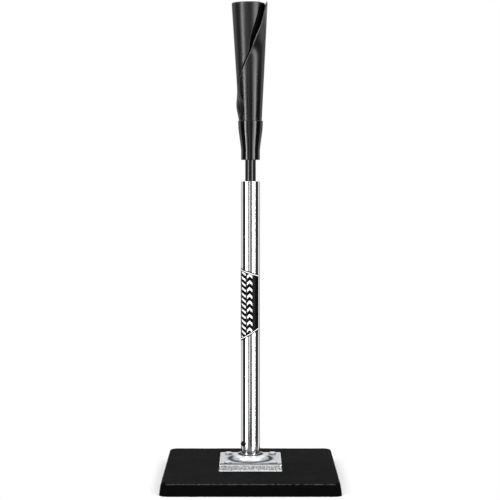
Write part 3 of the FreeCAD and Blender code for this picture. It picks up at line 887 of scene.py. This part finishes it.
def ball_cone():
    """The cone as one rolled sheet with real thickness: a spiral whose free edge runs down as a seam."""
    low, high = CONE_LOW.z, CONE_HIGH.z
    half, total = SHEET / 2, 360 + OVERLAP
    lean_at_rim = -1.3 * MM
    lip = [(0.0, 0.42), (0.25 * MM, 0.75), (0.7 * MM, 0.93), (1.3 * MM, 1.0)]
    levels = [(low + d, share) for d, share in lip]
    levels += [(z, 1.0) for z in np.linspace(low + 3 * MM, high - 4 * MM, 120)]
    levels += [(high - d, share) for d, share in reversed(lip)]
    edge_steps = [(0.0, 0.6), (0.8, 0.88), (1.8, 1.0)]
    turns = [(a, share) for a, share in edge_steps]
    turns += [(a, 1.0) for a in np.linspace(3, 326, 190)]
    turns += [(a, 1.0) for a in np.linspace(327, 364, 75)]
    turns += [(a, 1.0) for a in np.linspace(366, total - 3, 60)]
    turns += [(total - a, share) for a, share in reversed(edge_steps)]
    outer, inner, wear_and_edge_highlight = [], [], []
    for z, level_share in levels:
        fraction = (z - COLLAR_HIGH.z) / (high - COLLAR_HIGH.z)
        lean = lean_at_rim * max(fraction, 0.0)
        for past_edge, turn_share in turns:
            radius, azimuth = cone_sheet_point(z, past_edge)
            share = min(level_share, turn_share)
            centre = radius - half
            spoke = toward(azimuth)
            shift = Vector((lean, 0, z))
            outer.append(spoke * (centre + half * share) + shift)
            inner.append(spoke * (centre - half * share) + shift)
            # lighter along the sheet's cut edges and lips: scuffing, and a painted edge highlight
            wear_and_edge_highlight.append(1.0 if past_edge < 2.4 or share < 0.9 else max(0.0, 1 - past_edge / 4.5) * 0.8)
    faces = double_sheet_faces(len(turns), len(levels))
    piece = make_piece("rolled_cone", outer + inner, faces, "upper", ["ball_cone"], sharp=60)
    store(piece, "wear_and_edge_highlight", wear_and_edge_highlight * 2)
    return paint(piece, sheet_rubber())


def hidden_parts():
    """Materials for the CAD nodes that stay as they are, inside the tee."""
    steel = plated_steel("mill_steel", (0.42, 0.42, 0.43, 1), 0.35, 0.55)
    zinc = plated_steel("hidden_zinc", (0.6, 0.61, 0.64, 1), 0.25, 0.4)
    nylon = moulded_nylon("plug_nylon", (0.6, 0.58, 0.52, 1), (0.74, 0.72, 0.66, 1))
    core = moulded_nylon("core_plastic", grey(0.02), grey(0.035))
    spring = plated_steel("spring_temper", (0.36, 0.38, 0.44, 1), 0.2, 0.35)
    rubber = sheet_rubber("ring_rubber")
    finishes = {"ballast_plate": steel, "spigot_tube": steel, "shaft_end_plug": steel, "base_nuts": zinc,
                "thrust_washer": zinc, "plug_screw": zinc, "friction_plug": nylon, "cone_core": core,
                "button_spring": spring, "friction_ring_lower": rubber, "friction_ring_upper": rubber,
                "sole_pad": rubber}
    for node, material in finishes.items():
        paint_node(node, material)


# -------------------------------------------------------------------------- stage

CAMERA_AT = (-0.75 * MM, -2.0852, 0.4634)
CAMERA_PITCH = 3.378                 # degrees below level
LENS, SENSOR = 101.34, 36            # mm

BOX_HEIGHT, BOX_MIDDLE = 1.9, 0.6    # every soft box's height, and how high its centre is
SOFT_BOXES = (                       # name, azimuth, distance, width, radiance
    ("left_box", -51, 1.7, 0.30, 13.0),
    ("left_spill", -38, 1.8, 0.40, 2.0),
    ("left_fill", -15, 2.3, 0.36, 1.3),
    ("right_box", 44, 1.7, 0.60, 7.5),
    ("right_spill", 27, 1.8, 0.42, 3.0),
    ("front_fill", 3, 2.6, 0.5, 0.35),
)


def camera():
    """A long lens in front of the tee, a little above its middle."""
    data = bpy.data.cameras.new("camera")
    data.sensor_width = SENSOR
    data.lens = LENS
    data.clip_end = 50
    made = bpy.data.objects.new("camera", data)
    made.location = CAMERA_AT
    made.rotation_euler = (math.radians(90 - CAMERA_PITCH), 0, 0)
    bpy.context.scene.collection.objects.link(made)
    bpy.context.scene.camera = made


def soft_box(name, azimuth, distance, width, radiance):
    """A tall strip light that faces the tee's axis; radiance is what its surface gives."""
    data = bpy.data.lights.new(name, "AREA")
    data.shape = "RECTANGLE"
    data.size, data.size_y = width, BOX_HEIGHT
    data.energy = radiance * math.pi * width * BOX_HEIGHT
    made = bpy.data.objects.new(name, data)
    made.location = toward(azimuth) * distance + AXIS * BOX_MIDDLE
    made.rotation_euler = (-toward(azimuth)).to_track_quat("-Z", "Y").to_euler()
    bpy.context.scene.collection.objects.link(made)


def world():
    """White surroundings behind the tee with two grey bands, dark ones in front, and a pale ceiling."""
    made = bpy.data.worlds.new("studio")
    bpy.context.scene.world = made
    made.use_nodes = True
    graph = Graph(made.node_tree)
    background = graph.tree.nodes["Background"]
    background.inputs["Color"].default_value = grey(1.0)
    dark, pale, seen = 0.03, 0.9, 1.0
    way = graph.split(graph.node("ShaderNodeTexCoord").outputs["Generated"])
    sideways = graph.math("ABSOLUTE", way["X"])
    bands = graph.math("MULTIPLY", graph.between(sideways, 0.42, 0.55),
                       graph.between(sideways, 0.68, 0.8, 1.0, 0.0))
    behind = graph.math("MULTIPLY", graph.between(way["Y"], 0.22, 0.32, dark, pale),
                        graph.between(bands, 0.0, 1.0, 1.0, 0.25))
    walls = graph.math("MAXIMUM", behind, dark)
    lit = graph.math("MAXIMUM", walls, graph.between(way["Z"], 0.05, 0.45, 0.0, pale))
    pick = graph.node("ShaderNodeMix")
    graph.feed(pick.inputs["Factor"], graph.node("ShaderNodeLightPath").outputs["Is Camera Ray"])
    graph.feed(pick.inputs["A"], lit)
    graph.feed(pick.inputs["B"], seen)
    graph.link(pick.outputs["Result"], background.inputs["Strength"])


def floor():
    """Pale floor that fades into the background a little way from the tee."""
    radius, below, segments = 0.36, -0.05 * MM, 96
    verts, faces = lathe([(r, below) for r in np.linspace(radius, 0.02, 24)], segments)
    faces.append(tuple(range(len(verts) - segments, len(verts))))
    mesh = bpy.data.meshes.new("floor")
    mesh.from_pydata([tuple(v) for v in verts], [], faces)
    made = bpy.data.objects.new("floor", mesh)
    bpy.context.scene.collection.objects.link(made)
    m = Recipe("floor")
    gap = m.node("ShaderNodeVectorMath", operation="LENGTH")
    m.link(m.place, gap.inputs[0])
    fade = m.between(gap.outputs["Value"], 0.145, 0.25)
    clear = m.node("ShaderNodeBsdfTransparent")
    mix = m.node("ShaderNodeMixShader")
    m.link(fade, mix.inputs[0])
    m.link(m.shader.outputs[0], mix.inputs[1])
    m.link(clear.outputs[0], mix.inputs[2])
    m.link(mix.outputs[0], m.tree.nodes["Material Output"].inputs["Surface"])
    paint(made, m.finish(Base_Color=grey(0.92), Roughness=0.8))


def stage():
    """Everything round the tee: camera, surroundings, floor and lights."""
    camera()
    world()
    floor()
    for box in SOFT_BOXES:
        soft_box(*box)
    scene = bpy.context.scene
    scene.view_settings.view_transform = "Standard"
    scene.view_settings.look = "None"


stage()
base_block()
flange_casting()
flange_bolts()
flange_washers()
outer_tube()
guide_bush()
tube_label()
snap_button()
inner_shaft()
collar()
ball_cone()
hidden_parts()
